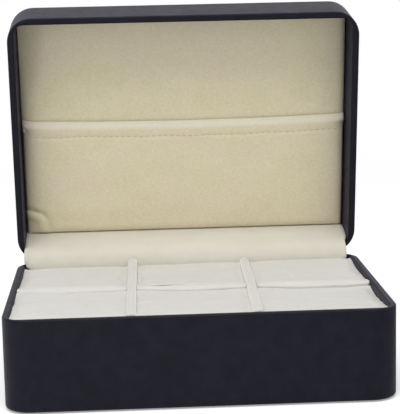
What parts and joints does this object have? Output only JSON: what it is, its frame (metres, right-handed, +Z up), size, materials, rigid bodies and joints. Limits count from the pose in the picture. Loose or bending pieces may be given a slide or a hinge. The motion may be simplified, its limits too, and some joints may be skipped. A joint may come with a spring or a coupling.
{
  "type": "cufflink display box",
  "caption": "Hinged flat box with a padded compartment tray in the base, a lined lid with a cloth pocket, and a cloth-covered snap hinge.",
  "frame": {"origin": "centre of the box's underside, on the surface that it stands on", "axes": "+X to the right seen from the front, along the hinge; +Y to the back; +Z up. The lid is stored open on its stop."},
  "size_m": [0.18, 0.1605, 0.1776],
  "materials": {
    "case_leatherette": "black grained leatherette, satin",
    "case_core": "raw fibreboard",
    "base_felt": "black non-slip felt",
    "card": "grey board",
    "tray_velvet": "pale short-pile velvet",
    "lid_suede": "pale suede cloth",
    "hinge_steel": "nickel-plated steel",
    "strip_cloth": "pale velvet strip",
    "elastic": "woven elastic"
  },
  "bodies": {
    "base": {"base_shell": "case_core", "base_wrap": "case_leatherette", "base_felt": "base_felt", "tray_riser": "card", "tray_board": "card", "pad_cards": "card", "divider_left": "tray_velvet", "divider_right": "tray_velvet", "pad_front_left": "tray_velvet", "pad_front_middle": "tray_velvet", "pad_front_right": "tray_velvet", "pad_rear_left": "tray_velvet", "pad_rear_middle": "tray_velvet", "pad_rear_right": "tray_velvet", "leaf_base_left": "hinge_steel", "leaf_base_right": "hinge_steel", "pin_left": "hinge_steel", "pin_right": "hinge_steel", "rivets_base": "hinge_steel", "hinge_strip": "strip_cloth", "snap_spring_left": "hinge_steel", "snap_spring_right": "hinge_steel"},
    "lid": {"lid_shell": "case_core", "lid_wrap": "case_leatherette", "lining_card": "card", "lid_lining": "lid_suede", "lid_pocket": "lid_suede", "pocket_elastic": "elastic", "leaf_lid_left": "hinge_steel", "leaf_lid_right": "hinge_steel", "rivets_lid": "hinge_steel"}
  },
  "joints": [
    {"name": "lid_hinge", "type": "hinge", "parent": "base", "child": "lid", "pos_m": [0, 0.0655, 0.0437], "axis": [1, 0, 0], "range_deg": [0, 80.5], "deforming": ["hinge_strip", "snap_spring_left", "snap_spring_right"]}
  ]
}
